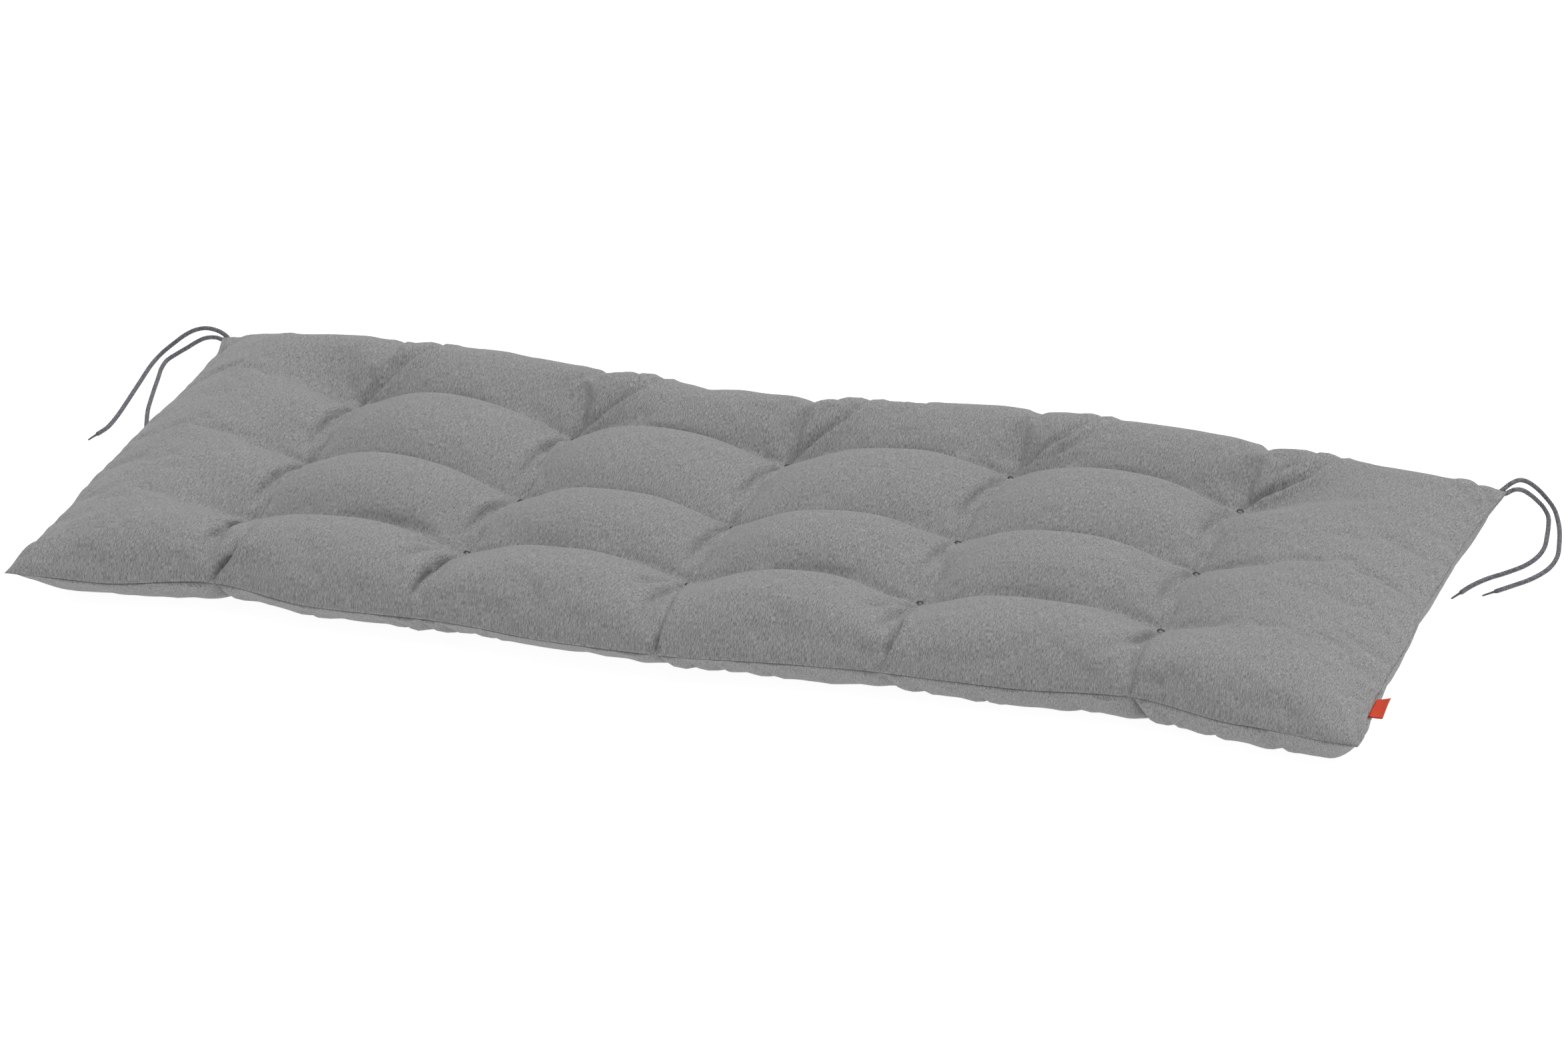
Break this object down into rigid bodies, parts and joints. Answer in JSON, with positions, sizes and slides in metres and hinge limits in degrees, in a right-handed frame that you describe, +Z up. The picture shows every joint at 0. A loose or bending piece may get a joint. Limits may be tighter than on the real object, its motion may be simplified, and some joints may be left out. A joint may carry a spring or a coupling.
{
  "type": "bench cushion",
  "caption": "Long tufted seat cushion for a two-seat garden bench, a grid of soft lobes between tacks, with tie cords at the back corners.",
  "frame": {"origin": "middle of the cushion's box, on the surface that it lies on", "axes": "+X along the cushion to the end with the tab, +Y to the back edge with the cords, +Z up out of the tufted face"},
  "size_m": [1.3245, 0.5275, 0.0842],
  "materials": {
    "cushion_cloth": "grey melange plain weave, matt",
    "tab_ribbon": "orange-red woven ribbon, satin, bare",
    "tack_thread": "dark grey sewing thread, matt",
    "tie_cord": "dark grey braided cord, matt",
    "cord_tip": "heat-sealed cord end, slightly glossy"
  },
  "bodies": {
    "root": {"cushion": "cushion_cloth", "label_tab": "tab_ribbon", "tack_1_1": "tack_thread", "tack_1_2": "tack_thread", "tack_1_3": "tack_thread", "tack_1_4": "tack_thread", "tack_1_5": "tack_thread", "tack_2_1": "tack_thread", "tack_2_2": "tack_thread", "tack_2_3": "tack_thread", "tack_2_4": "tack_thread", "tack_2_5": "tack_thread", "tack_3_1": "tack_thread", "tack_3_2": "tack_thread", "tack_3_3": "tack_thread", "tack_3_4": "tack_thread", "tack_3_5": "tack_thread", "tie_left_outer": "tie_cord", "tie_left_inner": "tie_cord", "tie_right_outer": "tie_cord", "tie_right_inner": "tie_cord", "tie_left_outer_tip": "cord_tip", "tie_left_inner_tip": "cord_tip", "tie_right_outer_tip": "cord_tip", "tie_right_inner_tip": "cord_tip"}
  },
  "joints": []
}
